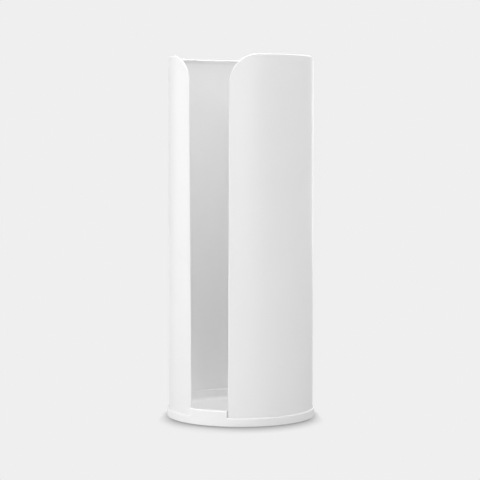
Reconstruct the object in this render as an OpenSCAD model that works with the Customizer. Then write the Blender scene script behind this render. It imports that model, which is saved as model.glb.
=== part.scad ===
// Free-standing holder that stores spare toilet rolls in a stack.
// A coated steel sheet with a hemmed edge is rolled into a tall open-topped tube. Its two
// side edges don't meet, so a slot runs down the front for fingers and for seeing the stock.
// A moulded base holds the lower edge of the sheet in a groove, where clips on the base snap
// into windows of the sheet, and it stands on soft pads.
// Z is up, the slot faces -Y, and the origin is on the floor under the middle of the tube.

/* [Overall] */
// Height from the surface that it stands on to the top of the rim
height = 343; // [200:1:480]
// Outer diameter of the steel shell
shell_d = 138; // [120:1:180]
// Thickness of the steel sheet with its coating
sheet_t = 0.7; // [0.6:0.05:0.9]

/* [Slot] */
// Width of the slot along the sheet, where its edges leave the corners
slot_w_top = 41.8; // [32:0.2:56]
// Width of the slot along the sheet, at the lower edge of the sheet
slot_w_bottom = 38.6; // [32:0.2:56]
// Radius of the two corners at the top of the slot
corner_r = 27; // [16:0.5:34]

/* [Hem] */
// Outer radius of the fold
fold_r = 1; // [0.9:0.05:1.1]
// Width over which the folded layer closes onto the sheet, beside the fold
hem_close = 1.4; // [1:0.1:2]
// Width of the whole hem
hem_w = 4.4; // [4.4:0.1:8]
// Width of the slope at the end of the folded layer
hem_slope = 1.2; // [0.4:0.1:1.2]

/* [Base ring and groove] */
// Height of the ledge round the shell, above the surface that it stands on
ledge_z = 8.8; // [8.8:0.2:14]
// Thickness of the ring outside the shell
ring_t = 1.55; // [1.5:0.05:3]
// Height of the bottom of the groove that the sheet stands in
groove_z = 2.6; // [2.6:0.1:3]
// Play between the sheet and the ring outside it
ring_play = 0.2; // [0.1:0.05:0.3]
// Play between the sheet and the collar inside it
collar_play = 0.15; // [0.1:0.05:0.25]
// Play under the lower edge of the sheet
seat_play = 0.2; // [0.1:0.05:0.3]
// Radius of the rounded lower edge of the ring
ring_round = 0.4; // [0.3:0.1:0.8]
// Radius of the rounded upper edge of the ring
ledge_round = 1.4; // [0.4:0.1:1.4]

/* [Base collar and floor] */
// Height of the top of the collar inside the shell
collar_z = 15.2; // [14:0.2:22]
// Thickness of the collar
collar_t = 2.15; // [1.9:0.05:3]
// Height of the floor that the rolls stand on
floor_z = 5.2; // [4.8:0.1:6.6]
// Thickness of the floor
floor_t = 2; // [1.6:0.1:2.2]
// Radius of the hollow curve between the floor and the collar
cove_r = 3.4; // [2:0.2:6]
// Radius of the rounded top edge of the collar
collar_round = 0.5; // [0.3:0.1:0.7]

/* [Base lip in the slot] */
// Gap between each end of the lip and the edge of the sheet
lip_gap = 0.5; // [0.4:0.1:1.5]
// Radius of the rounded front edge of the lip
lip_round = 1.2; // [0.6:0.1:1.5]

/* [Ribs under the base] */
// Number of ribs that run out from the hub
rib_count = 16; // [8:1:24]
// Thickness of a rib
rib_t = 1.2; // [0.8:0.1:1.6]
// How far the ribs stay above the lower edge of the ring
rib_clear = 0.5; // [0.3:0.1:0.8]
// Outer diameter of the round rib at the middle
hub_d = 30; // [20:1:50]

/* [Clips] */
// Number of clips that hold the sheet
clip_count = 5; // [3:1:5]
// Angle between two clips next to each other
clip_step = 62; // [30:1:62]
// Width of a clip
clip_w = 10; // [6:0.5:12]
// Height of the flat catch under a clip
clip_z = 5; // [4.6:0.1:5.2]
// Height of a clip
clip_h = 2.2; // [1.8:0.1:2.6]
// How far a clip reaches into its window
clip_reach = 0.65; // [0.4:0.05:0.65]
// Play round a clip in its window
clip_play = 0.2; // [0.15:0.05:0.3]

/* [Pads] */
// Diameter of a pad
pad_d = 16; // [10:0.5:18]
// Thickness of a pad
pad_t = 2; // [1.6:0.1:2]
// How far the pads stand out under the ring
pad_proud = 0.8; // [0.6:0.1:1]
// Diameter of the circle that the pads lie on
pad_circle_d = 100; // [70:1:104]
// Play round a pad in its seat
pad_play = 0.15; // [0.1:0.05:0.3]
// Thickness of the round wall of a pad's seat
seat_t = 1.2; // [0.8:0.1:1.6]
// Radius of the rounded lower edge of a pad
pad_round = 0.5; // [0.3:0.1:0.6]

/* [Hidden] */
$fn = 128;

// Number of soft pads under the base, one node each
pad_count = 4;
// Room for a cut to run past the face that it cuts
past = 5;

// Radii of the shell: outside and inside of the sheet, and inside of the fold
shell_r = shell_d / 2;
layer_r = shell_r - sheet_t;
hem_r = shell_r - 2 * fold_r;
// Height of the lower edge of the sheet
seat_z = groove_z + seat_play;

// Angle from the middle of the slot to its edge, in the base
slot_a = arc_angle(slot_w_bottom / 2);

// Radii of the base, from the outside in
groove_out_r = shell_r + ring_play;
ring_r = groove_out_r + ring_t;
groove_in_r = layer_r - collar_play;
collar_r = groove_in_r - collar_t;
// The hem is thicker than the sheet, so both ends of the groove are wider
pocket_r = hem_r - collar_play;
pocket_a = slot_a + arc_angle(hem_w + lip_gap);
// Angle from the middle of the slot to each end of the lip
lip_a = slot_a - arc_angle(lip_gap);
// The hollow curve is centred here
cove_x = collar_r - cove_r;
cove_z = floor_z + cove_r;

// Windows of the sheet, which the clips fill but for their play
window_z = clip_z - clip_play;
window_h = clip_h + 2 * clip_play;
// The part of the clip's height that is square, under its ramp
clip_square = clip_h / 4;

pad_r = pad_d / 2;
// How far the pockets cut into the ends of the lip
pocket_step = 0.2;
// What the holes under the clips leave of the groove's bottom on either side
core_edge = 0.1;
// What stands under the floor is sunk into it, each by its own share of its thickness
seat_top_z = floor_z - floor_t * 3 / 4;
rib_top_z = floor_z - floor_t / 2;
hub_top_z = floor_z - floor_t * 3 / 8;

// Angle that a length along the outside of the shell covers
function arc_angle(length) = length / shell_r * 180 / PI;

// Turns a child that is drawn facing -Y, so that it faces a direction round the axis
module facing(angle) {
    rotate([0, 0, angle]) children();
}

// Part of a turn of a profile, from one angle to another, counted from -Y
module turned(from, to) {
    rotate([0, 0, from - 90]) rotate_extrude(angle = to - from) children();
}

module tube(r_out, r_in, z_low, z_high) {
    translate([0, 0, z_low])
        difference() {
            cylinder(r = r_out, h = z_high - z_low);
            translate([0, 0, -past]) cylinder(r = r_in, h = z_high - z_low + 2 * past);
        }
}

// Shell

// The sheet is drawn flat first, as [way round from the middle of the slot, height], and the
// path runs along its free edge: up one side of the slot, round a corner, along the rim, round
// the other corner and down again. Each point comes with the direction into the sheet.
turns_r = PI * shell_d;
corner_steps = 18;
rim_steps = 108;
rim_start = slot_w_top / 2 + corner_r;

function edge_foot() = [[slot_w_bottom / 2, seat_z], [1, 0]];
function edge_corner(turn) = [
    [rim_start - corner_r * cos(turn), height - corner_r + corner_r * sin(turn)],
    [cos(turn), -sin(turn)],
];
function edge_rim(share) = [
    [rim_start + share * (turns_r - 2 * rim_start), height],
    [0, -1],
];
function other_side(point) = [[turns_r - point[0][0], point[0][1]], [-point[1][0], point[1][1]]];

half_edge = [edge_foot(), for (step = [0 : corner_steps]) edge_corner(90 * step / corner_steps)];
edge_path = concat(
    half_edge,
    [for (step = [1 : rim_steps - 1]) edge_rim(step / rim_steps)],
    [for (i = [len(half_edge) - 1 : -1 : 0]) other_side(half_edge[i])]
);

// Section of the hem, as [distance from the free edge, depth under the outer surface]: round
// the fold from the outer surface, back to where the folded layer lies on the sheet, along it,
// and down its sloping end to the inside of the sheet
fold_steps = 10;
hem_section = concat(
    [for (step = [0 : fold_steps])
        fold_r * [1 - sin(180 * step / fold_steps), 1 - cos(180 * step / fold_steps)]],
    [
        [fold_r + hem_close, 2 * sheet_t],
        [hem_w - hem_slope, 2 * sheet_t],
        [hem_w, sheet_t],
    ]
);

// Place of a flat point after rolling, at a depth under the outer surface
function rolled(flat, depth) = [
    (shell_r - depth) * sin(arc_angle(flat[0])),
    -(shell_r - depth) * cos(arc_angle(flat[0])),
    flat[1],
];

// Lower end of the line that runs down the sheet from a place on its path. Near the slot these
// lines lean with its edge.
function lean(way) = max(0, 1 - (way - slot_w_top / 2) / corner_r);
function foot_of(flat) = [
    flat[0] + (slot_w_bottom - slot_w_top) / 2
        * (lean(flat[0]) - lean(turns_r - flat[0])),
    seat_z,
];

// Rolled sheet with its hem: rings of the section along the path, and below them the two
// faces of the sheet down to its lower edge
module hemmed_sheet() {
    last_ring = len(edge_path) - 1;
    size = len(hem_section);
    inside = size - 1;
    closed = fold_steps + 1;
    rings = [
        for (place = edge_path, section = hem_section)
            rolled(place[0] + section[0] * place[1], section[1])
    ];
    feet = [
        for (k = [2 : last_ring - 2], section = [hem_section[0], hem_section[inside]])
            rolled(foot_of(edge_path[k][0] + section[0] * edge_path[k][1]), section[1])
    ];
    // Number of the point under ring k, where side is 0 for the outer face and 1 for the inner
    function foot(k, side) =
        k == 1 ? side * inside
        : k == last_ring - 1 ? last_ring * size + side * inside
        : len(rings) + 2 * (k - 2) + side;
    function four(a, b, c, d) = [[a, b, c], [a, c, d]];
    sweep = [
        for (k = [0 : last_ring - 1], m = [0 : inside - 1])
            each four(k * size + m, k * size + m + 1, (k + 1) * size + m + 1, (k + 1) * size + m)
    ];
    walls = [
        for (k = [1 : last_ring - 2])
            let (top = k * size, next = top + size)
                each concat(
                    four(top, next, foot(k + 1, 0), foot(k, 0)),
                    four(next + inside, top + inside, foot(k, 1), foot(k + 1, 1)),
                    four(foot(k, 0), foot(k + 1, 0), foot(k + 1, 1), foot(k, 1))
                )
    ];
    ends = [
        for (m = [0 : inside])
            let (next = (m + 1) % size, last = last_ring * size)
                if (m != closed && next != closed)
                    each [[closed, next, m], [last + closed, last + m, last + next]]
    ];
    polyhedron(concat(rings, feet), concat(sweep, walls, ends));
}

// One window for each clip
module clip_windows() {
    half_a = arc_angle(clip_w / 2 + clip_play);
    for (i = [0 : clip_count - 1])
        facing(clip_angle(i))
            turned(-half_a, half_a)
                translate([layer_r - past, window_z]) square([2 * past, window_h]);
}

module shell() {
    color("whitesmoke")
        difference() {
            hemmed_sheet();
            clip_windows();
        }
}

// Base

// Clips are spread evenly about the back
function clip_angle(i) = 180 + (i - (clip_count - 1) / 2) * clip_step;

// Takes a square corner off a profile and leaves it round. The corner is at [x, z], and the
// profile lies inwards or outwards of it, and below or above it.
module corner_cut(x, z, r, outwards = false, above = false) {
    translate([x, z])
        mirror([outwards ? 1 : 0, 0])
            mirror([0, above ? 1 : 0])
                translate([-r, -r])
                    difference() {
                        square(r + sheet_t);
                        circle(r = r);
                    }
}

// Profile of the base as it is at the lip: the floor, the hollow curve and a wall as thick as
// the collar, the groove and the ring together
module base_profile() {
    translate([0, floor_z - floor_t]) square([cove_x, floor_t]);
    intersection() {
        difference() {
            translate([cove_x, cove_z]) circle(r = cove_r + floor_t);
            translate([cove_x, cove_z]) circle(r = cove_r);
        }
        translate([cove_x, 0]) square([cove_r + collar_t / 2, cove_z]);
    }
    difference() {
        translate([collar_r, pad_proud]) square([ring_r - collar_r, collar_z - pad_proud]);
        corner_cut(ring_r, pad_proud, ring_round, above = true);
        corner_cut(ring_r, collar_z, lip_round);
        corner_cut(collar_r, collar_z, collar_round, outwards = true);
    }
}

// Profile of what is cut away beside the lip: the groove, and all above the ledge
module groove_profile() {
    polygon([
        [groove_in_r, groove_z],
        [groove_out_r, groove_z],
        [groove_out_r, ledge_z],
        [ring_r + past, ledge_z],
        [ring_r + past, collar_z + past],
        [groove_in_r, collar_z + past],
    ]);
    corner_cut(ring_r, ledge_z, ledge_round);
    corner_cut(groove_in_r, collar_z, collar_round);
}

// Ribs under the floor and in the channel under the hollow curve, sunk halfway into both
module ribs() {
    rib_z = pad_proud + rib_clear;
    sunk_r = cove_r + floor_t / 2;
    curve_steps = 5;
    curve_end = 75;
    curve = [
        for (step = [0 : curve_steps])
            let (turn = curve_end * step / curve_steps)
                [cove_x + sunk_r * sin(turn), cove_z - sunk_r * cos(turn)]
    ];
    inner = hub_d / 2 - rib_t / 2;
    outer = collar_r + collar_t / 2;
    outline = concat(
        [[inner, rib_z], [inner, rib_top_z]],
        curve,
        [[outer, curve[curve_steps][1]], [outer, rib_z]]
    );
    for (i = [0 : rib_count - 1])
        facing((i + 0.5) * 360 / rib_count)
            rotate([90, 0, -90])
                translate([0, 0, -rib_t / 2])
                    linear_extrude(rib_t) polygon(outline);
    tube(hub_d / 2, hub_d / 2 - rib_t, rib_z, hub_top_z);
}

// Clips on the outside of the collar: flat under, with a ramp above that the sheet slides down
module clips() {
    half_a = arc_angle(clip_w / 2);
    root = collar_t / 2;
    for (i = [0 : clip_count - 1])
        facing(clip_angle(i))
            turned(-half_a, half_a)
                translate([groove_in_r, clip_z])
                    polygon([
                        [-root, 0],
                        [collar_play + clip_reach, 0],
                        [collar_play + clip_reach, clip_square],
                        [0, clip_h],
                        [-root, clip_h],
                    ]);
}

// Holes in the bottom of the groove, through which the undersides of the clips are moulded
module clip_core_holes() {
    half_a = arc_angle(clip_w / 2);
    hole_w = groove_out_r - groove_in_r - 2 * core_edge;
    for (i = [0 : clip_count - 1])
        facing(clip_angle(i))
            turned(-half_a, half_a)
                translate([groove_in_r + core_edge, pad_proud - past])
                    square([hole_w, past + (groove_z + clip_z) / 2 - pad_proud]);
}

// Wider ends of the groove for the hemmed edges of the sheet
module hem_pockets() {
    for (side = [0, 1])
        mirror([side, 0, 0])
            turned(lip_a - arc_angle(pocket_step), pocket_a)
                translate([pocket_r, groove_z + seat_play / 2])
                    square([layer_r - pocket_r, collar_z]);
}

// Puts a child on the place of a pad
module pad_place(i) {
    facing((i + 0.5) * 360 / pad_count) translate([0, -pad_circle_d / 2, 0]) children();
}

module base() {
    color("white")
        difference() {
            union() {
                difference() {
                    rotate_extrude() base_profile();
                    turned(lip_a, 360 - lip_a) groove_profile();
                }
                ribs();
                clips();
                for (i = [0 : pad_count - 1])
                    pad_place(i)
                        translate([0, 0, pad_proud])
                            cylinder(r = pad_r + pad_play + seat_t, h = seat_top_z - pad_proud);
            }
            hem_pockets();
            clip_core_holes();
            for (i = [0 : pad_count - 1])
                pad_place(i)
                    translate([0, 0, pad_t - past]) cylinder(r = pad_r + pad_play, h = past);
        }
}

// Soft pads, each a disc with a rounded lower edge
module foot_pad(i) {
    color("gainsboro")
        pad_place(i)
            rotate_extrude() {
                square([pad_r - pad_round, pad_t]);
                translate([0, pad_round]) square([pad_r, pad_t - pad_round]);
                translate([pad_r - pad_round, pad_round]) circle(r = pad_round);
            }
}

shell();
base();
foot_pad(0);  // foot_pad_1
foot_pad(1);  // foot_pad_2
foot_pad(2);  // foot_pad_3
foot_pad(3);  // foot_pad_4
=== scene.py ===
# White free-standing holder for a stack of spare toilet rolls: a steel sheet with a hemmed
# edge, rolled and powder coated, in a moulded base on soft pads. Metres, Z up, the slot
# faces -Y, and the origin is on the floor under the middle of the tube.
import math

import bmesh
import bpy
from mathutils import Euler, Matrix, Vector


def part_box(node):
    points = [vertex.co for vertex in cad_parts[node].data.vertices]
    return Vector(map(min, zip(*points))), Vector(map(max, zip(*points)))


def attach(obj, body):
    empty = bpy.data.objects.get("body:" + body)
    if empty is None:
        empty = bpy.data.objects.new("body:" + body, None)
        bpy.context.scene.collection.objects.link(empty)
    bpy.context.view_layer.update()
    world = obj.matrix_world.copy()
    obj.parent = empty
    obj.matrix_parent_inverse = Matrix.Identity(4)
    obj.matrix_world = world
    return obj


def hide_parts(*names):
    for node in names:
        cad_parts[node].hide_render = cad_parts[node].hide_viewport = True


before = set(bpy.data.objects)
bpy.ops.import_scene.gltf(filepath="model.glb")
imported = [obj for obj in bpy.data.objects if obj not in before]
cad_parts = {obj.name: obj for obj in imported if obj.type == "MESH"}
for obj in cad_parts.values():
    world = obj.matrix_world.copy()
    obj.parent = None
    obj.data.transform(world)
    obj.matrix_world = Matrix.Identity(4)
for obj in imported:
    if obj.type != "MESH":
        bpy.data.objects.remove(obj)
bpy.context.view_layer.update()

MM = 0.001

# Sizes read from the parts in model.glb
shell_low, shell_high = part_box("shell")
_, base_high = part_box("base")
SHELL_R = shell_high.x
SHELL_TOP = shell_high.z
SHELL_FOOT = shell_low.z
RING_R = base_high.x

# The sheet, its slot, and the hem that is folded inwards along its free edge
SHEET_T = 0.7 * MM
SLOT_W_TOP = 41.8 * MM
SLOT_W_FOOT = 38.6 * MM
CORNER_R = 27 * MM
FOLD_R = 1 * MM
HEM_CLOSE = 1.4 * MM
HEM_W = 4.4 * MM
HEM_SLOPE = 1.2 * MM

# The base, from its outer ring inwards to its floor
RING_PLAY = 0.2 * MM
RING_ROUND = 0.4 * MM
LEDGE_Z = 8.8 * MM
LEDGE_ROUND = 1.4 * MM
GROOVE_Z = 2.6 * MM
COLLAR_PLAY = 0.15 * MM
COLLAR_Z = 15.2 * MM
COLLAR_T = 2.15 * MM
COLLAR_ROUND = 0.5 * MM
COVE_R = 3.4 * MM
FLOOR_Z = 5.2 * MM
FLOOR_T = 2 * MM

# The lip in the foot of the slot, and the pockets beside it that take the hems
LIP_GAP = 0.5 * MM
LIP_ROUND = 1.2 * MM
POCKET_OVERLAP = 0.2 * MM / SHELL_R
POCKET_Z = 2.7 * MM

# Ribs and hub under the floor
RIB_COUNT = 16
RIB_T = 1.2 * MM
RIB_CLEAR = 0.5 * MM
RIB_END_DEG = -15
HUB_D = 30 * MM

# Clips that hold the sheet, and the holes below them that the mould needs
CLIP_COUNT = 5
CLIP_SPACING = math.radians(62)
CLIP_W = 10 * MM
CLIP_Z = 5 * MM
CLIP_H = 2.2 * MM
CLIP_NOSE_H = CLIP_H / 4
CLIP_REACH = 0.65 * MM
CLIP_PLAY = 0.2 * MM
CORE_EDGE = 0.1 * MM

# Pads and their seats
PAD_COUNT = 4
PAD_D = 16 * MM
PAD_T = 2 * MM
PAD_PROUD = 0.8 * MM
PAD_CIRCLE_D = 100 * MM
PAD_PLAY = 0.15 * MM
PAD_ROUND = 0.5 * MM
SEAT_T = 1.2 * MM

# Radii, heights and angles that follow
LAYER_R = SHELL_R - SHEET_T
HEM_R = SHELL_R - 2 * FOLD_R
GROOVE_OUT_R = SHELL_R + RING_PLAY
GROOVE_IN_R = LAYER_R - COLLAR_PLAY
COLLAR_R = GROOVE_IN_R - COLLAR_T
COVE_X = COLLAR_R - COVE_R
COVE_Z = FLOOR_Z + COVE_R
RIB_LOW = PAD_PROUD + RIB_CLEAR
SLOT_A = SLOT_W_FOOT / 2 / SHELL_R
LIP_A = SLOT_A - LIP_GAP / SHELL_R
POCKET_A = SLOT_A + (HEM_W + LIP_GAP) / SHELL_R
FULL_TURN = 2 * math.pi

# What hangs under the floor reaches into it by different shares of its thickness, so that
# no two faces lie in one plane where the shapes are joined.
RIB_TOP = FLOOR_Z - FLOOR_T / 2
HUB_TOP = FLOOR_Z - FLOOR_T * 3 / 8
SEAT_TOP = FLOOR_Z - FLOOR_T * 3 / 4

# How far a cutting shape runs past what it cuts, and the distance at which points merge
PAST = 5 * MM
MERGE_GAP = 0.001 * MM

# Steps along the free edge of the sheet, and round the section of its hem
STRAIGHT_STEPS = 16
CORNER_STEPS = 24
RIM_STEPS = 160
FOLD_STEPS = 12
CLOSE_STEPS = 4

# Steps that the curves of the base and pads are divided into
BASE_STEPS = 288
LIP_STEPS = 24
POCKET_STEPS = 12
CLIP_STEPS = 8
HUB_STEPS = 96
DISC_STEPS = 96
ROUND_STEPS = 8
COVE_STEPS = 20
UNDER_STEPS = 12
RIB_STEPS = 5

# Grain and unevenness of the finishes
GRAIN_DETAIL = 2.0
PATCH_DETAIL = 1.0
PATCH_SIZE = 60 * MM
NOISE_LOW = 0.3
NOISE_MIDDLE = 0.5
NOISE_HIGH = 0.7
GLOSS_CHANGE = 0.12
TONE_CHANGE = 0.01
SHARP_EDGE = math.radians(35)

# Camera, as fitted to the photograph. The image and the focal length are in pixels.
IMAGE_W_PX = 480
SENSOR_W_MM = 36.0
FOCAL_PX = 1611.8
CAMERA_DISTANCE = 1.5401
CAMERA_HEIGHT = 0.26607
CAMERA_AZIMUTH = math.radians(26.16)
CAMERA_PITCH = 0.0631
CAMERA_YAW = 0.0005

# Floor, background, and the shadow at the foot of the object
BACKDROP = 0.8632
FLOOR_HALF = 6.0
FLOOR_BOUNCE = 0.6
SHADOW_AZIMUTH = math.degrees(CAMERA_AZIMUTH)
SHADOW_FRONT = 36 * MM
SHADOW_SIDE = 6.5 * MM
SHADOW_DARKEST_FRONT = 0.42
SHADOW_DARKEST_SIDE = 0.64
SHADOW_SIDE_SHARE = 0.2
SHADOW_OPENNESS = 0.5
SHADOW_SAMPLES = 16

# Points that the lamps face, and the size that the five large lamps round the object share
AIM_FOOT = (0, 0, 0)
AIM_MIDDLE = (0, 0, 0.17)
AIM_UPPER = (0, 0, 0.2)
AIM_RIM = (0, 0, 0.3)
TALL_PANEL = (1.2, 1.6)


# Node trees

class Field:
    """A value in a node tree that takes part in sums, as a number does."""

    def __init__(self, tree, socket):
        self.tree = tree
        self.socket = socket

    def math(self, operation, *values):
        node = self.tree.nodes.new("ShaderNodeMath")
        node.operation = operation
        for socket, value in zip(node.inputs, values):
            connect(self.tree, value, socket)
        return Field(self.tree, node.outputs[0])

    def __add__(self, other):
        return self.math("ADD", self, other)

    def __radd__(self, other):
        return self.math("ADD", other, self)

    def __sub__(self, other):
        return self.math("SUBTRACT", self, other)

    def __rsub__(self, other):
        return self.math("SUBTRACT", other, self)

    def __mul__(self, other):
        return self.math("MULTIPLY", self, other)

    def __rmul__(self, other):
        return self.math("MULTIPLY", other, self)

    def __truediv__(self, other):
        return self.math("DIVIDE", self, other)

    def __rtruediv__(self, other):
        return self.math("DIVIDE", other, self)

    def __neg__(self):
        return self.math("MULTIPLY", self, -1)

    def sin(self):
        return self.math("SINE", self)

    def cos(self):
        return self.math("COSINE", self)

    def root(self):
        return self.math("SQRT", self)

    def least(self, other):
        return self.math("MINIMUM", self, other)

    def most(self, other):
        return self.math("MAXIMUM", self, other)

    def share(self):
        """The value kept from 0 to 1."""
        return self.most(0).least(1)


def connect(tree, value, socket):
    """Puts a number, a socket or a Field into a node's input."""
    if isinstance(value, Field):
        value = value.socket
    if isinstance(value, bpy.types.NodeSocket):
        tree.links.new(value, socket)
    else:
        socket.default_value = value


def add_node(tree, kind, inputs=None, **settings):
    """A new node with its settings and inputs."""
    node = tree.nodes.new(kind)
    for name, value in settings.items():
        setattr(node, name, value)
    for name, value in (inputs or {}).items():
        connect(tree, value, node.inputs[name])
    return node


def new_tree(name, kind, inputs, outputs):
    """An empty node tree with named inputs and outputs, and its inputs as Fields."""
    tree = bpy.data.node_groups.new(name, kind)
    for label, socket_type in inputs:
        tree.interface.new_socket(label, in_out="INPUT", socket_type=socket_type)
    for label, socket_type in outputs:
        tree.interface.new_socket(label, in_out="OUTPUT", socket_type=socket_type)
    entry = tree.nodes.new("NodeGroupInput")
    return tree, {label: Field(tree, entry.outputs[label]) for label, _ in inputs}


def finish_tree(tree, results):
    """Joins the results to the outputs of a tree."""
    end = tree.nodes.new("NodeGroupOutput")
    for label, value in results.items():
        connect(tree, value, end.inputs[label])


def finish_shape_tree(tree, shape, finish):
    """Ends a tree that makes a shape: no instances are left, and it has its material."""
    real = add_node(tree, "GeometryNodeRealizeInstances", {"Geometry": shape})
    done = add_node(tree, "GeometryNodeSetMaterial", {
        "Geometry": real.outputs[0], "Material": finish})
    finish_tree(tree, {"Geometry": done.outputs[0]})


# Objects and meshes

def new_object(name, data):
    """An object in the scene that shows a mesh, a lamp or a camera."""
    thing = bpy.data.objects.new(name, data)
    bpy.context.scene.collection.objects.link(thing)
    return thing


def settled(piece):
    """Makes what a piece's modifiers show its own mesh, and removes them."""
    seen = piece.evaluated_get(bpy.context.evaluated_depsgraph_get())
    mesh = bpy.data.meshes.new_from_object(seen)
    piece.modifiers.clear()
    piece.data = mesh


def made_by(tree, name, values, start=None):
    """The plain mesh object that a Geometry Nodes tree makes from these values, and from a
    mesh where the tree starts from one."""
    piece = new_object(name, start or bpy.data.meshes.new(name))
    modifier = piece.modifiers.new("shape", "NODES")
    modifier.node_group = tree
    for item in tree.interface.items_tree:
        if item.in_out == "INPUT" and item.name in values:
            modifier[item.identifier] = values[item.name]
    settled(piece)
    piece.data.name = name
    return piece


def joined(piece, add=(), cut=()):
    """Adds shapes to a piece and cuts others out of it. The shapes are used up."""
    for operation, tools in (("UNION", add), ("DIFFERENCE", cut)):
        for tool in tools:
            step = piece.modifiers.new(tool.name, "BOOLEAN")
            step.operation = operation
            step.object = tool
            step.solver = "MANIFOLD"
    settled(piece)
    for tool in (*add, *cut):
        bpy.data.objects.remove(tool)


def shaded(piece, finish):
    """One material, and smooth shading that stays crisp at the real edges."""
    piece.data.materials.clear()
    piece.data.materials.append(finish)
    piece.data.polygons.foreach_set("use_smooth", [True] * len(piece.data.polygons))
    piece.data.set_sharp_from_angle(angle=SHARP_EDGE)
    weighted = piece.modifiers.new("even_shading", "WEIGHTED_NORMAL")
    weighted.keep_sharp = True


def closed_mesh(shape, name):
    """The mesh of a closed shape, with its faces pointing outwards."""
    bmesh.ops.recalc_face_normals(shape, faces=shape.faces)
    mesh = bpy.data.meshes.new(name)
    shape.to_mesh(mesh)
    shape.free()
    return mesh


def arc(x, z, r, start, end, steps=ROUND_STEPS):
    """Points of an arc in the plane of a profile. Angles are in degrees from outwards to up."""
    turns = [math.radians(start + (end - start) * step / steps) for step in range(steps + 1)]
    return [(x + r * math.cos(turn), z + r * math.sin(turn)) for turn in turns]


def block(x_low, x_high, z_low, z_high):
    """A rectangle in the plane of a profile."""
    return [(x_low, z_low), (x_high, z_low), (x_high, z_high), (x_low, z_high)]


def turned(outline, first, last, steps):
    """Mesh of a profile, as [distance from the axis, height], turned from one angle to
    another round the axis. Angles are in radians from -Y towards +X."""
    shape = bmesh.new()
    full = math.isclose(last - first, FULL_TURN)
    rings = []
    for step in range(steps if full else steps + 1):
        angle = first + (last - first) * step / steps
        rings.append([
            shape.verts.new((x * math.sin(angle), -x * math.cos(angle), z)) for x, z in outline])
    count = len(outline)
    # Two points on the axis have no face between them
    for step in range(steps):
        here, there = rings[step], rings[(step + 1) % len(rings)]
        for i in range(count):
            j = (i + 1) % count
            if outline[i][0] or outline[j][0]:
                shape.faces.new((here[i], there[i], there[j], here[j]))
    if not full:
        shape.faces.new(rings[0])
        shape.faces.new(rings[-1])
    bmesh.ops.remove_doubles(shape, verts=shape.verts, dist=MERGE_GAP)
    return closed_mesh(shape, "turned")


def spread_tree():
    """Copies of a shape, turned round the axis by equal steps."""
    tree, given = new_tree(
        "spread_round",
        "GeometryNodeTree",
        [
            ("Geometry", "NodeSocketGeometry"), ("Count", "NodeSocketInt"),
            ("First", "NodeSocketFloat"), ("Step", "NodeSocketFloat"),
            ("Finish", "NodeSocketMaterial"),
        ],
        [("Geometry", "NodeSocketGeometry")],
    )
    points = add_node(tree, "GeometryNodeMeshLine", {"Count": given["Count"], "Offset": (0, 0, 0)})
    index = Field(tree, add_node(tree, "GeometryNodeInputIndex").outputs[0])
    turn = add_node(tree, "ShaderNodeCombineXYZ", {"Z": given["First"] + given["Step"] * index})
    copies = add_node(tree, "GeometryNodeInstanceOnPoints", {
        "Points": points.outputs[0], "Instance": given["Geometry"], "Rotation": turn.outputs[0]})
    finish_shape_tree(tree, copies.outputs[0], given["Finish"])
    return tree


def spread(name, mesh, count, first, step, finish):
    """An object that holds a number of copies of a mesh, turned round the axis."""
    return made_by(round_copies, name, {
        "Count": count, "First": first, "Step": step, "Finish": finish}, mesh)


def spread_evenly(name, mesh, count, finish):
    """Copies at equal steps all round, the first half a step from the middle of the slot."""
    step = FULL_TURN / count
    return spread(name, mesh, count, step / 2, step, finish)


def spread_clips(name, outline, half_width, finish):
    """A profile as wide as a clip at the place of each clip."""
    half = half_width / SHELL_R
    first = math.pi - (CLIP_COUNT - 1) / 2 * CLIP_SPACING
    mesh = turned(outline, -half, half, CLIP_STEPS)
    return spread(name, mesh, CLIP_COUNT, first, CLIP_SPACING, finish)


# Materials

def fine_texture_group():
    """Fine grain of a coated or moulded surface, and soft unevenness of its gloss and tone."""
    number = "NodeSocketFloat"
    tree, given = new_tree(
        "fine_texture",
        "ShaderNodeTree",
        [("Grain", number), ("Patch", number)],
        [("Height", number), ("Gloss", number), ("Tone", number)],
    )
    where = add_node(tree, "ShaderNodeTexCoord").outputs["Object"]

    def noise(size, detail):
        node = add_node(tree, "ShaderNodeTexNoise", {
            "Vector": where, "Scale": 1 / size, "Detail": detail})
        return Field(tree, node.outputs["Fac"])

    grain = noise(given["Grain"], GRAIN_DETAIL)
    patch = noise(given["Patch"], PATCH_DETAIL)
    finish_tree(tree, {"Height": grain, "Gloss": (grain + patch) / 2, "Tone": patch})
    return tree


def surface(name, texture, colour, roughness, grain, depth):
    """A material with a fine bump, and a tone and roughness that vary a little over it."""
    material = bpy.data.materials.new(name)
    material.use_nodes = True
    tree = material.node_tree
    shader = tree.nodes["Principled BSDF"]
    fine = add_node(tree, "ShaderNodeGroup", node_tree=texture)
    fine.inputs["Grain"].default_value = grain
    fine.inputs["Patch"].default_value = PATCH_SIZE
    gloss = Field(tree, fine.outputs["Gloss"])
    connect(tree, roughness + (gloss - NOISE_MIDDLE) * GLOSS_CHANGE, shader.inputs["Roughness"])
    ramp = add_node(tree, "ShaderNodeMapRange", {
        "Value": fine.outputs["Tone"], "From Min": NOISE_LOW, "From Max": NOISE_HIGH,
        "To Min": 1 - TONE_CHANGE, "To Max": 1.0})
    tint = add_node(tree, "ShaderNodeVectorMath", operation="SCALE")
    tint.inputs[0].default_value = colour
    connect(tree, ramp.outputs["Result"], tint.inputs["Scale"])
    connect(tree, tint.outputs["Vector"], shader.inputs["Base Color"])
    bump = add_node(tree, "ShaderNodeBump", {
        "Strength": 1.0, "Distance": depth, "Height": fine.outputs["Height"]})
    connect(tree, bump.outputs["Normal"], shader.inputs["Normal"])
    return material


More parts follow.
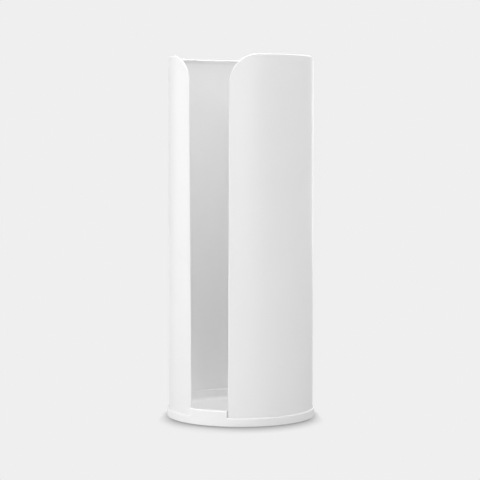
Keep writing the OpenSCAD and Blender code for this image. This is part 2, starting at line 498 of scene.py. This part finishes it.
def powder_coat(texture):
    """White coat of the steel sheet, with a soft sheen."""
    return surface("powder_coat", texture, colour=(0.87, 0.87, 0.87), roughness=0.42,
                   grain=0.6 * MM, depth=0.002 * MM)


def moulded_plastic(texture):
    """White plastic of the base, with a finer grain."""
    return surface("moulded_plastic", texture, colour=(0.9, 0.9, 0.9), roughness=0.48,
                   grain=0.3 * MM, depth=0.003 * MM)


def soft_rubber(texture):
    """Grey rubber of the pads, which has no sheen."""
    return surface("soft_rubber", texture, colour=(0.45, 0.45, 0.45), roughness=0.8,
                   grain=0.4 * MM, depth=0.01 * MM)


# Shell

def shell_tree():
    """The hemmed sheet. It is worked out flat, as the way round from the middle of the slot,
    the height and the depth under the outer surface, and then rolled. A path runs along the
    free edge: up one side of the slot, round a corner, along the rim, and back down."""
    number = "NodeSocketFloat"
    tree, given = new_tree(
        "hemmed_sheet",
        "GeometryNodeTree",
        [
            ("Radius", number), ("Top", number), ("Foot", number), ("Sheet", number),
            ("Slot at top", number), ("Slot at foot", number), ("Corner", number),
            ("Fold", number), ("Hem close", number), ("Hem", number), ("Hem slope", number),
            ("Finish", "NodeSocketMaterial"),
        ],
        [("Geometry", "NodeSocketGeometry")],
    )
    radius, sheet = given["Radius"], given["Sheet"]
    fold_r, close = given["Fold"], given["Hem close"]
    hem, slope = given["Hem"], given["Hem slope"]
    top, foot, corner = given["Top"], given["Foot"], given["Corner"]
    half_top, half_foot = given["Slot at top"] / 2, given["Slot at foot"] / 2
    half_steps = STRAIGHT_STEPS + CORNER_STEPS + RIM_STEPS
    # The fold, where the hem closes, and one step each for its flat and its slope
    section_steps = FOLD_STEPS + CLOSE_STEPS + 2

    def grid(columns, rows):
        """A flat grid of faces, with the share of the way along its columns and its rows."""
        faces = add_node(tree, "GeometryNodeMeshGrid", {
            "Size X": 1.0, "Size Y": 1.0, "Vertices X": columns + 1, "Vertices Y": rows + 1})
        place = add_node(tree, "ShaderNodeSeparateXYZ", {
            "Vector": add_node(tree, "GeometryNodeInputPosition").outputs[0]})
        along = Field(tree, place.outputs["X"]) + 0.5
        up = Field(tree, place.outputs["Y"]) + 0.5
        return faces.outputs["Mesh"], along, up

    def edge(step):
        """Point and inward direction of the free edge after a number of steps from a foot of
        the slot, and the side of the sheet that it is on."""
        near = step.least(2 * half_steps - step)
        rise = (near / STRAIGHT_STEPS).share()
        turn = ((near - STRAIGHT_STEPS) / CORNER_STEPS).share() * (math.pi / 2)
        run = ((near - (STRAIGHT_STEPS + CORNER_STEPS)) / RIM_STEPS).share()
        way = half_foot + rise * (half_top - half_foot) + corner * (1 - turn.cos())
        way = way + run * (radius * math.pi - half_top - corner)
        height = foot + rise * (top - corner - foot) + corner * turn.sin()
        side = 1 - 2 * step.math("GREATER_THAN", step, half_steps)
        return way, height, turn.cos(), -turn.sin(), side

    def section(step):
        """Inset from the free edge and depth after a number of steps round the hem."""
        fold = (step / FOLD_STEPS).share() * math.pi
        closed = ((step - FOLD_STEPS) / CLOSE_STEPS).share()
        flat = (step - (FOLD_STEPS + CLOSE_STEPS)).share()
        back = (step - (FOLD_STEPS + CLOSE_STEPS + 1)).share()
        inset = fold_r * (1 - fold.sin()) + closed * close
        inset = inset + flat * (hem - slope - close - fold_r) + back * slope
        smooth = closed * closed * (3 - 2 * closed)
        depth = fold_r * (1 - fold.cos()) - smooth * 2 * (fold_r - sheet)
        return inset, depth - sheet * back

    def foot_way(way, inset):
        """Where the line down from a place near the slot ends, as it leans with the slot."""
        lean = (1 - (way - half_top - inset) / (corner - inset)).share()
        return way + lean * (half_foot - half_top)

    def rolled(faces, way, height, depth, side, flip):
        """Faces of the flat sheet, brought to their place on the tube."""
        angle = way / radius
        reach = radius - depth
        place = add_node(tree, "ShaderNodeCombineXYZ", {
            "X": side * reach * angle.sin(), "Y": -(reach * angle.cos()), "Z": height})
        moved = add_node(tree, "GeometryNodeSetPosition", {
            "Geometry": faces, "Position": place.outputs[0]}).outputs[0]
        if flip:
            moved = add_node(tree, "GeometryNodeFlipFaces", {"Mesh": moved}).outputs[0]
        return moved

    def hem_strip():
        """The fold and the hem behind it, along the whole free edge."""
        faces, along, up = grid(2 * half_steps, section_steps)
        way, height, way_in, down_in, side = edge(along * (2 * half_steps))
        inset, depth = section(up * section_steps)
        return rolled(
            faces, way + inset * way_in, height + inset * down_in, depth, side, False)

    def sheet_face(inset, depth, flip):
        """One face of the sheet, from an inset of its free edge down to its lower edge."""
        columns = 2 * (half_steps - STRAIGHT_STEPS)
        faces, along, up = grid(columns, STRAIGHT_STEPS)
        way, height, way_in, down_in, side = edge(along * columns + STRAIGHT_STEPS)
        way = way + inset * way_in
        low = foot_way(way, inset)
        high = height + inset * down_in
        return rolled(
            faces, low + up * (way - low), foot + up * (high - foot), depth, side, flip)

    def lower_edge():
        """The cut edge that stands in the groove of the base."""
        columns = 2 * (half_steps - STRAIGHT_STEPS)
        faces, along, across = grid(columns, 1)
        way, _, way_in, _, side = edge(along * columns + STRAIGHT_STEPS)
        inset = fold_r + across * (hem - fold_r)
        low = foot_way(way + inset * way_in, inset)
        return rolled(faces, low, foot + 0 * along, across * sheet, side, True)

    def hem_end(step, flip):
        """The cut end of the hem at a foot of the slot."""
        disc = add_node(tree, "GeometryNodeMeshCircle", {
            "Vertices": section_steps + 1}, fill_type="NGON")
        index = Field(tree, add_node(tree, "GeometryNodeInputIndex").outputs[0])
        way, height, way_in, down_in, side = edge(index * 0 + step)
        inset, depth = section(index)
        return rolled(
            disc.outputs[0], way + inset * way_in, height + inset * down_in, depth, side, flip)

    parts = [
        hem_strip(),
        sheet_face(fold_r, 0 * sheet, False),
        sheet_face(hem, sheet, True),
        lower_edge(),
        hem_end(0, False),
        hem_end(2 * half_steps, True),
    ]
    together = add_node(tree, "GeometryNodeJoinGeometry")
    for part in reversed(parts):
        tree.links.new(part, together.inputs[0])
    merged = add_node(tree, "GeometryNodeMergeByDistance", {
        "Geometry": together.outputs[0], "Distance": MERGE_GAP})
    finish_shape_tree(tree, merged.outputs[0], given["Finish"])
    return tree


def make_shell(finish):
    piece = made_by(shell_tree(), "rolled_shell", {
        "Radius": SHELL_R, "Top": SHELL_TOP, "Foot": SHELL_FOOT, "Sheet": SHEET_T,
        "Slot at top": SLOT_W_TOP, "Slot at foot": SLOT_W_FOOT, "Corner": CORNER_R,
        "Fold": FOLD_R, "Hem close": HEM_CLOSE, "Hem": HEM_W, "Hem slope": HEM_SLOPE,
        "Finish": finish})
    window = block(
        LAYER_R - PAST, LAYER_R + PAST, CLIP_Z - CLIP_PLAY, CLIP_Z + CLIP_H + CLIP_PLAY)
    windows = spread_clips("windows", window, CLIP_W / 2 + CLIP_PLAY, finish)
    joined(piece, cut=[windows])
    shaded(piece, finish)
    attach(piece, "root")
    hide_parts("shell")


# Base

def base_outline():
    """Profile of the base as it is at the lip."""
    under = COVE_R + FLOOR_T
    meets = math.degrees(math.acos(COVE_R / under))
    return [
        (0, FLOOR_Z - FLOOR_T),
        *arc(COVE_X, COVE_Z, under, -90, -meets, UNDER_STEPS),
        (COLLAR_R, PAD_PROUD),
        *arc(RING_R - RING_ROUND, PAD_PROUD + RING_ROUND, RING_ROUND, -90, 0),
        *arc(RING_R - LIP_ROUND, COLLAR_Z - LIP_ROUND, LIP_ROUND, 0, 90),
        *arc(COLLAR_R + COLLAR_ROUND, COLLAR_Z - COLLAR_ROUND, COLLAR_ROUND, 90, 180),
        *arc(COVE_X, COVE_Z, COVE_R, 0, -90, COVE_STEPS),
        (0, FLOOR_Z),
    ]


def groove_outline():
    """Profile of what is cut away beside the lip: the groove, and all above the ledge."""
    return [
        (GROOVE_IN_R, GROOVE_Z),
        (GROOVE_OUT_R, GROOVE_Z),
        (GROOVE_OUT_R, LEDGE_Z),
        *arc(RING_R - LEDGE_ROUND, LEDGE_Z - LEDGE_ROUND, LEDGE_ROUND, 90, 0),
        (RING_R + PAST, LEDGE_Z - LEDGE_ROUND),
        (RING_R + PAST, COLLAR_Z + PAST),
        (GROOVE_IN_R - COLLAR_ROUND, COLLAR_Z + PAST),
        *arc(GROOVE_IN_R - COLLAR_ROUND, COLLAR_Z - COLLAR_ROUND, COLLAR_ROUND, 90, 0),
    ]


def clip_outline():
    """Profile of a clip: flat under, with a ramp above that the sheet slides down."""
    root, reach = COLLAR_T / 2, COLLAR_PLAY + CLIP_REACH
    return [(GROOVE_IN_R + x, CLIP_Z + z) for x, z in (
        (-root, 0), (reach, 0), (reach, CLIP_NOSE_H), (0, CLIP_H), (-root, CLIP_H))]


def rib_mesh():
    """One rib, drawn facing -Y."""
    inner, outer = HUB_D / 2 - RIB_T / 2, COLLAR_R + COLLAR_T / 2
    curve = arc(COVE_X, COVE_Z, COVE_R + FLOOR_T / 2, -90, RIB_END_DEG, RIB_STEPS)
    outline = [
        (inner, RIB_LOW), (inner, RIB_TOP), *curve, (outer, curve[-1][1]), (outer, RIB_LOW)]
    shape = bmesh.new()
    sides = [[shape.verts.new((x, -r, z)) for r, z in outline] for x in (-RIB_T / 2, RIB_T / 2)]
    shape.faces.new(sides[0])
    shape.faces.new(sides[1])
    for i in range(len(outline)):
        j = (i + 1) % len(outline)
        shape.faces.new((sides[0][i], sides[0][j], sides[1][j], sides[1][i]))
    return closed_mesh(shape, "rib")


def disc_mesh(r, low, high, edge=0.0):
    """A disc on the place of a pad, drawn facing -Y, with a rounded lower edge."""
    corner = arc(r - edge, low + edge, edge, -90, 0) if edge else [(r, low)]
    mesh = turned([(0, low), *corner, (r, high), (0, high)], 0, FULL_TURN, DISC_STEPS)
    mesh.transform(Matrix.Translation((0, -PAD_CIRCLE_D / 2, 0)))
    return mesh


def hem_pockets():
    """Cuts that widen the ends of the groove for the double thickness of the hems."""
    outline = block(HEM_R - COLLAR_PLAY, LAYER_R, POCKET_Z, COLLAR_Z + PAST)
    near, far = LIP_A - POCKET_OVERLAP, POCKET_A
    return [
        new_object("pocket", turned(outline, first, last, POCKET_STEPS))
        for first, last in ((-far, -near), (near, far))
    ]


def make_base(finish):
    seat_r = PAD_D / 2 + PAD_PLAY
    hub_outline = block(HUB_D / 2 - RIB_T, HUB_D / 2, RIB_LOW, HUB_TOP)
    core_outline = block(
        GROOVE_IN_R + CORE_EDGE, GROOVE_OUT_R - CORE_EDGE, -PAST, (GROOVE_Z + CLIP_Z) / 2)
    piece = new_object("moulded_base", turned(base_outline(), 0, FULL_TURN, BASE_STEPS))
    groove = new_object("groove", turned(
        groove_outline(), LIP_A, FULL_TURN - LIP_A, BASE_STEPS - LIP_STEPS))
    hub = new_object("hub", turned(hub_outline, 0, FULL_TURN, HUB_STEPS))
    seat = disc_mesh(seat_r + SEAT_T, PAD_PROUD, SEAT_TOP)
    seats = spread_evenly("seats", seat, PAD_COUNT, finish)
    recesses = spread_evenly("recesses", disc_mesh(seat_r, -PAST, PAD_T), PAD_COUNT, finish)
    ribs = spread_evenly("ribs", rib_mesh(), RIB_COUNT, finish)
    clips = spread_clips("clips", clip_outline(), CLIP_W / 2, finish)
    cores = spread_clips("core_holes", core_outline, CLIP_W / 2, finish)
    joined(piece, cut=[groove])
    joined(piece, add=[ribs, hub, clips, seats])
    joined(piece, cut=[*hem_pockets(), cores, recesses])
    shaded(piece, finish)
    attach(piece, "root")
    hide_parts("base")


# Pads

def make_pads(finish):
    step = FULL_TURN / PAD_COUNT
    for i in range(PAD_COUNT):
        pad = spread("pad_%d" % (i + 1), disc_mesh(PAD_D / 2, 0, PAD_T, PAD_ROUND),
                     1, step * (i + 0.5), 0, finish)
        shaded(pad, finish)
        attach(pad, "root")
        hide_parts("foot_pad_%d" % (i + 1))


# Stage

def around(azimuth, distance, height):
    """A place at an azimuth round the object, counted from -Y towards +X, in degrees."""
    a = math.radians(azimuth)
    return Vector((distance * math.sin(a), -distance * math.cos(a), height))


def make_camera():
    data = bpy.data.cameras.new("camera")
    data.sensor_width = SENSOR_W_MM
    data.lens = FOCAL_PX * SENSOR_W_MM / IMAGE_W_PX
    camera = new_object("camera", data)
    camera.location = around(math.degrees(CAMERA_AZIMUTH), CAMERA_DISTANCE, CAMERA_HEIGHT)
    camera.rotation_euler = Euler((math.pi / 2 - CAMERA_PITCH, 0, CAMERA_AZIMUTH + CAMERA_YAW))
    bpy.context.scene.camera = camera


def seen_directly(tree):
    """1 for a ray that comes from the camera, a mirror or glass, and 0 for light."""
    rays = add_node(tree, "ShaderNodeLightPath")
    camera = Field(tree, rays.outputs["Is Camera Ray"])
    glossy = Field(tree, rays.outputs["Is Glossy Ray"])
    clear = Field(tree, rays.outputs["Is Transmission Ray"])
    return (camera + glossy + clear).share()


def shadow_at_foot(tree):
    """Share of the floor's brightness that is left near the foot of the object. A place
    straight in front has a front share of 1, and one beside or behind the object has 0. The
    shadow reaches further with it, and is lighter where it is under SHADOW_SIDE_SHARE."""
    place = add_node(tree, "ShaderNodeSeparateXYZ", {
        "Vector": add_node(tree, "ShaderNodeTexCoord").outputs["Object"]})
    x, y = Field(tree, place.outputs["X"]), Field(tree, place.outputs["Y"])
    ahead = around(SHADOW_AZIMUTH, 1, 0)
    front = (x * ahead.x + y * ahead.y).most(0)
    front_share = front * front / (x * x + y * y)
    reach = front_share * (SHADOW_FRONT ** 2 - SHADOW_SIDE ** 2) + SHADOW_SIDE ** 2
    darkening = (front_share / SHADOW_SIDE_SHARE).least(1)
    darkest = darkening * (SHADOW_DARKEST_FRONT - SHADOW_DARKEST_SIDE) + SHADOW_DARKEST_SIDE
    shade = add_node(tree, "ShaderNodeAmbientOcclusion", {
        "Distance": reach.root()}, samples=SHADOW_SAMPLES)
    ramp = add_node(tree, "ShaderNodeMapRange", {
        "Value": shade.outputs["AO"], "From Min": SHADOW_OPENNESS, "From Max": 1.0,
        "To Min": darkest, "To Max": 1.0})
    return ramp.outputs["Result"]


def make_floor():
    """A wide floor as bright as the background, which still takes part in the light."""
    mesh = bpy.data.meshes.new("floor")
    h = FLOOR_HALF
    mesh.from_pydata([(-h, -h, 0), (h, -h, 0), (h, h, 0), (-h, h, 0)], [], [(0, 1, 2, 3)])
    material = bpy.data.materials.new("floor")
    material.use_nodes = True
    tree = material.node_tree
    tree.nodes.remove(tree.nodes["Principled BSDF"])
    plain = add_node(tree, "ShaderNodeEmission", {
        "Color": (BACKDROP,) * 3 + (1,), "Strength": shadow_at_foot(tree)})
    lit = add_node(tree, "ShaderNodeBsdfDiffuse", {"Color": (FLOOR_BOUNCE,) * 3 + (1,)})
    mix = add_node(tree, "ShaderNodeMixShader", {"Fac": seen_directly(tree)})
    tree.links.new(lit.outputs[0], mix.inputs[1])
    tree.links.new(plain.outputs[0], mix.inputs[2])
    tree.links.new(mix.outputs[0], tree.nodes["Material Output"].inputs["Surface"])
    mesh.materials.append(material)
    floor = new_object("floor", mesh)


def make_world():
    """A background that is seen as bright as the floor, and gives no light."""
    world = bpy.data.worlds.new("studio")
    bpy.context.scene.world = world
    world.use_nodes = True
    tree = world.node_tree
    sky = tree.nodes["Background"]
    sky.inputs["Color"].default_value = (1, 1, 1, 1)
    connect(tree, seen_directly(tree) * BACKDROP, sky.inputs["Strength"])


def make_lamp(name, place, aim, size, power):
    """A rectangular lamp. Its place, aim and size are in metres and its power in watts."""
    data = bpy.data.lights.new(name, "AREA")
    data.shape = "RECTANGLE"
    data.size, data.size_y = size
    data.energy = power
    lamp = new_object(name, data)
    lamp.location = place
    lamp.rotation_euler = (Vector(aim) - Vector(place)).to_track_quat("-Z", "Y").to_euler()


def make_lamps():
    """Lamps above the object, then going round it from its left."""
    make_lamp("top_wide", (0, 0, 1.8), AIM_FOOT, (2.0, 2.0), 16.4)
    make_lamp("top_front", around(26, 1.0, 1.7), AIM_RIM, (0.8, 0.8), 3.3)
    make_lamp("top_right", around(80, 1.2, 1.5), AIM_RIM, (0.8, 0.8), 2.6)
    make_lamp("opening", (0, 0, 0.8), AIM_FOOT, (0.12, 0.12), 1.4)
    make_lamp("left", around(-75, 1.6, 0.5), AIM_MIDDLE, TALL_PANEL, 13)
    make_lamp("left_low", around(-25, 1.6, 0.3), AIM_MIDDLE, (1.2, 0.6), 5.8)
    make_lamp("front", around(26, 2.2, 0.6), AIM_UPPER, TALL_PANEL, 16.4)
    make_lamp("front_right", around(38, 2.2, 0.6), AIM_UPPER, (0.6, 1.6), 3.8)
    make_lamp("right", around(110, 1.6, 0.6), AIM_UPPER, TALL_PANEL, 4.4)
    make_lamp("back_right", around(145, 1.6, 0.6), AIM_UPPER, TALL_PANEL, 4.4)
    make_lamp("back", around(-165, 1.6, 0.6), AIM_UPPER, TALL_PANEL, 11)


fine_texture = fine_texture_group()
round_copies = spread_tree()

make_camera()
make_shell(powder_coat(fine_texture))
make_base(moulded_plastic(fine_texture))
make_pads(soft_rubber(fine_texture))
make_floor()
make_world()
make_lamps()

view = bpy.context.scene.view_settings
view.view_transform = "Standard"
